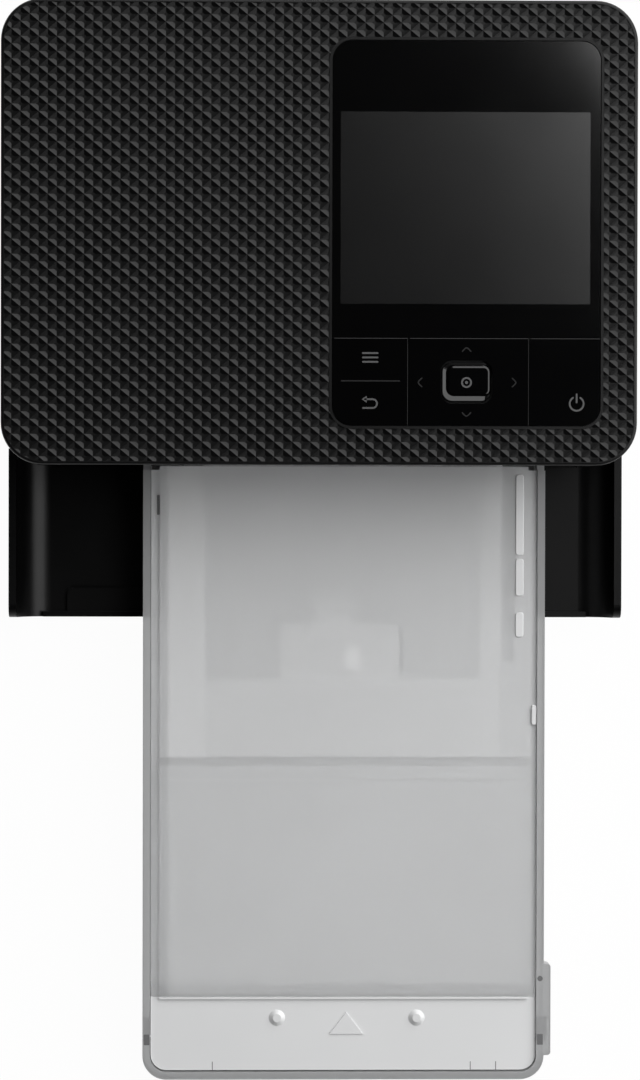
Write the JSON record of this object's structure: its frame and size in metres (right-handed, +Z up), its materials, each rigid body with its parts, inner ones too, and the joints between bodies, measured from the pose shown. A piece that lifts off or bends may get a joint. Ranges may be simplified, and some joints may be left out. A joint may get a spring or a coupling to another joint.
{
  "type": "compact photo printer",
  "caption": "Compact photo printer with a flat textured top, a glossy control panel, an open front cover and a lidded paper cassette in its mouth.",
  "frame": {"origin": "centre of the overall outline on the table, with the cassette inserted and the front cover open", "axes": "+Z up, +Y towards the printer's back, +X to the right seen from the front"},
  "size_m": [0.1822, 0.314, 0.0576],
  "materials": {
    "case": "satin",
    "panel": "polished",
    "screen": "polished",
    "soft_rubber": "matt",
    "steel": "satin",
    "zinc_steel": "satin",
    "circuit_board": "satin",
    "connector": "satin",
    "tray": "satin",
    "lid": "satin",
    "gear_plastic": "satin",
    "ribbon_plastic": "satin",
    "film": "polished",
    "heat_sink": "satin"
  },
  "bodies": {
    "housing": {"lower_case": "case", "rubber_feet": "soft_rubber", "case_screws": "steel", "top_cover": "case", "cover_hinge_pins": "steel", "ink_door_pins": "steel", "rear_panel": "case", "panel_glass": "panel", "key_board": "circuit_board", "screen_module": "screen", "main_board": "circuit_board", "power_inlet": "connector", "card_slot": "zinc_steel", "base_plate": "zinc_steel", "chassis_left": "zinc_steel", "chassis_right": "zinc_steel", "gear_plate": "zinc_steel", "gear_axles": "steel", "cassette_guides": "connector", "exit_guide": "zinc_steel", "rear_guide": "connector", "roller_bushes": "gear_plastic", "feed_motor": "zinc_steel", "ribbon_motor": "zinc_steel", "head_shaft": "steel", "head_spring": "steel"},
    "front_cover": {"front_cover": "case"},
    "ink_door": {"ink_door": "case"},
    "menu_back_key": {"menu_back_key": "panel"},
    "navigation_pivot": {"navigation_pivot": "steel"},
    "navigation_key": {"navigation_key": "panel"},
    "ok_key": {"ok_key": "panel"},
    "power_key": {"power_key": "panel"},
    "platen": {"platen_shaft": "steel", "platen_rubber": "soft_rubber", "platen_gear": "gear_plastic"},
    "capstan": {"capstan_roller": "steel", "capstan_gear": "gear_plastic"},
    "pinch_roller": {"pinch_roller": "steel"},
    "pickup": {"pickup_shaft": "steel", "pickup_tyre": "soft_rubber", "pickup_gear": "gear_plastic"},
    "feed_pinion": {"feed_pinion": "gear_plastic"},
    "feed_idler": {"feed_idler": "gear_plastic"},
    "rear_pick_idler": {"rear_pick_idler": "gear_plastic"},
    "front_pick_idler": {"front_pick_idler": "gear_plastic"},
    "ribbon_pinion": {"ribbon_pinion": "gear_plastic"},
    "take_up_gear": {"take_up_gear": "gear_plastic"},
    "ribbon_case": {"ribbon_case": "ribbon_plastic", "ribbon_film": "film"},
    "supply_spool": {"supply_spool": "gear_plastic"},
    "take_up_spool": {"take_up_spool": "gear_plastic"},
    "release_lever": {"release_lever": "gear_plastic"},
    "thermal_head": {"thermal_head": "heat_sink", "head_bracket": "zinc_steel"},
    "cassette": {"cassette_tray": "tray"},
    "lift_plate": {"lift_plate": "steel"},
    "inner_lid": {"inner_lid": "tray"},
    "lid_pins": {"lid_pins": "steel"},
    "outer_lid": {"outer_lid": "lid"}
  },
  "joints": [
    {"name": "front_cover_hinge", "type": "hinge", "parent": "housing", "child": "front_cover", "pos_m": [0, 0.02705, 0.0035], "axis": [-1, 0, 0], "range_deg": [0, 4.5]},
    {"name": "cassette_slide", "type": "slide", "parent": "housing", "child": "cassette", "axis": [0, -1, 0], "range_m": [0, 0.034]},
    {"name": "lid_slide", "type": "slide", "parent": "cassette", "child": "lid_pins", "axis": [0, 1, 0], "range_m": [0, 0.005]},
    {"name": "lid_hinge", "type": "hinge", "parent": "lid_pins", "child": "outer_lid", "pos_m": [0.0082, -0.14495, 0.0218], "axis": [1, 0, 0], "range_deg": [0, 110]},
    {"name": "inner_lid_hinge", "type": "hinge", "parent": "cassette", "child": "inner_lid", "pos_m": [0.0082, 0.01805, 0.02045], "axis": [-1, 0, 0], "range_deg": [0, 1.5]},
    {"name": "lift_plate_hinge", "type": "hinge", "parent": "cassette", "child": "lift_plate", "pos_m": [0.0082, 0.00605, 0.0129], "axis": [-1, 0, 0], "range_deg": [0, 8.5], "stiffness_Nm_per_rad": 0.2, "springref_deg": -8.59},
    {"name": "ink_door_hinge", "type": "hinge", "parent": "housing", "child": "ink_door", "pos_m": [0.0901, 0.1257, 0.036], "axis": [0, 0, 1], "range_deg": [0, 95]},
    {"name": "ribbon_case_slide", "type": "slide", "parent": "housing", "child": "ribbon_case", "axis": [1, 0, 0], "range_m": [0, 0.0035]},
    {"name": "supply_spool_spin", "type": "hinge", "parent": "ribbon_case", "child": "supply_spool", "pos_m": [0.0082, 0.11205, 0.038], "axis": [1, 0, 0], "continuous": true},
    {"name": "take_up_spool_spin", "type": "hinge", "parent": "ribbon_case", "child": "take_up_spool", "pos_m": [0.0082, 0.06505, 0.038], "axis": [1, 0, 0], "continuous": true},
    {"name": "take_up_gear_spin", "type": "hinge", "parent": "housing", "child": "take_up_gear", "pos_m": [-0.0629, 0.06505, 0.038], "axis": [1, 0, 0], "continuous": true},
    {"name": "ribbon_pinion_spin", "type": "hinge", "parent": "housing", "child": "ribbon_pinion", "pos_m": [-0.0629, 0.08105, 0.038], "axis": [1, 0, 0], "continuous": true},
    {"name": "release_lever_slide", "type": "slide", "parent": "housing", "child": "release_lever", "axis": [0, 0, -1], "range_m": [0, 0.003], "stiffness_N_per_m": 150, "springref_m": -0.001},
    {"name": "head_hinge", "type": "hinge", "parent": "housing", "child": "thermal_head", "pos_m": [0.0082, 0.14205, 0.046], "axis": [1, 0, 0], "range_deg": [0, 1.3], "stiffness_Nm_per_rad": 2, "springref_deg": -3.44},
    {"name": "platen_spin", "type": "hinge", "parent": "housing", "child": "platen", "pos_m": [0.0082, 0.08805, 0.021], "axis": [1, 0, 0], "continuous": true},
    {"name": "feed_idler_spin", "type": "hinge", "parent": "housing", "child": "feed_idler", "pos_m": [-0.0587, 0.11078, 0.03442], "axis": [1, 0, 0], "continuous": true},
    {"name": "capstan_spin", "type": "hinge", "parent": "housing", "child": "capstan", "pos_m": [0.0082, 0.13005, 0.023], "axis": [1, 0, 0], "continuous": true},
    {"name": "feed_pinion_spin", "type": "hinge", "parent": "housing", "child": "feed_pinion", "pos_m": [-0.0587, 0.11078, 0.01522], "axis": [1, 0, 0], "continuous": true},
    {"name": "rear_pick_idler_spin", "type": "hinge", "parent": "housing", "child": "rear_pick_idler", "pos_m": [-0.0587, 0.06835, 0.02447], "axis": [1, 0, 0], "continuous": true},
    {"name": "front_pick_idler_spin", "type": "hinge", "parent": "housing", "child": "front_pick_idler", "pos_m": [-0.0587, 0.05246, 0.01903], "axis": [1, 0, 0], "continuous": true},
    {"name": "pickup_spin", "type": "hinge", "parent": "housing", "child": "pickup", "pos_m": [0.0082, 0.04005, 0.0278], "axis": [1, 0, 0], "continuous": true},
    {"name": "pinch_spin", "type": "hinge", "parent": "housing", "child": "pinch_roller", "pos_m": [0.0082, 0.13005, 0.0307], "axis": [1, 0, 0], "continuous": true},
    {"name": "menu_back_rock", "type": "hinge", "parent": "housing", "child": "menu_back_key", "pos_m": [0.01445, 0.04785, 0.0561], "axis": [1, 0, 0], "range_deg": [-1.2, 1.2], "stiffness_Nm_per_rad": 0.3},
    {"name": "navigation_tilt_x", "type": "hinge", "parent": "housing", "child": "navigation_pivot", "pos_m": [0.0426, 0.04785, 0.05545], "axis": [1, 0, 0], "range_deg": [-0.8, 0.8], "stiffness_Nm_per_rad": 0.3},
    {"name": "navigation_tilt_y", "type": "hinge", "parent": "navigation_pivot", "child": "navigation_key", "pos_m": [0.0426, 0.04785, 0.05545], "axis": [0, 1, 0], "range_deg": [-0.8, 0.8], "stiffness_Nm_per_rad": 0.3},
    {"name": "ok_press", "type": "slide", "parent": "housing", "child": "ok_key", "axis": [0, 0, -1], "range_m": [0, 0.0003], "stiffness_N_per_m": 400, "springref_m": -0.0002},
    {"name": "power_press", "type": "slide", "parent": "housing", "child": "power_key", "axis": [0, 0, -1], "range_m": [0, 0.0003], "stiffness_N_per_m": 400, "springref_m": -0.0002}
  ],
  "couplings": [
    {"joint": "feed_idler_spin", "follows": "platen_spin", "ratio": -0.83333},
    {"joint": "capstan_spin", "follows": "platen_spin", "ratio": 1.5},
    {"joint": "feed_pinion_spin", "follows": "platen_spin", "ratio": 2.5},
    {"joint": "rear_pick_idler_spin", "follows": "platen_spin", "ratio": -1.5},
    {"joint": "front_pick_idler_spin", "follows": "platen_spin", "ratio": 1.3636},
    {"joint": "pickup_spin", "follows": "platen_spin", "ratio": -1.875},
    {"joint": "pinch_spin", "follows": "platen_spin", "ratio": -1.7143},
    {"joint": "ribbon_pinion_spin", "follows": "take_up_gear_spin", "ratio": -2.3333},
    {"joint": "take_up_spool_spin", "follows": "take_up_gear_spin", "ratio": 1},
    {"joint": "supply_spool_spin", "follows": "take_up_gear_spin", "ratio": 0.75}
  ]
}
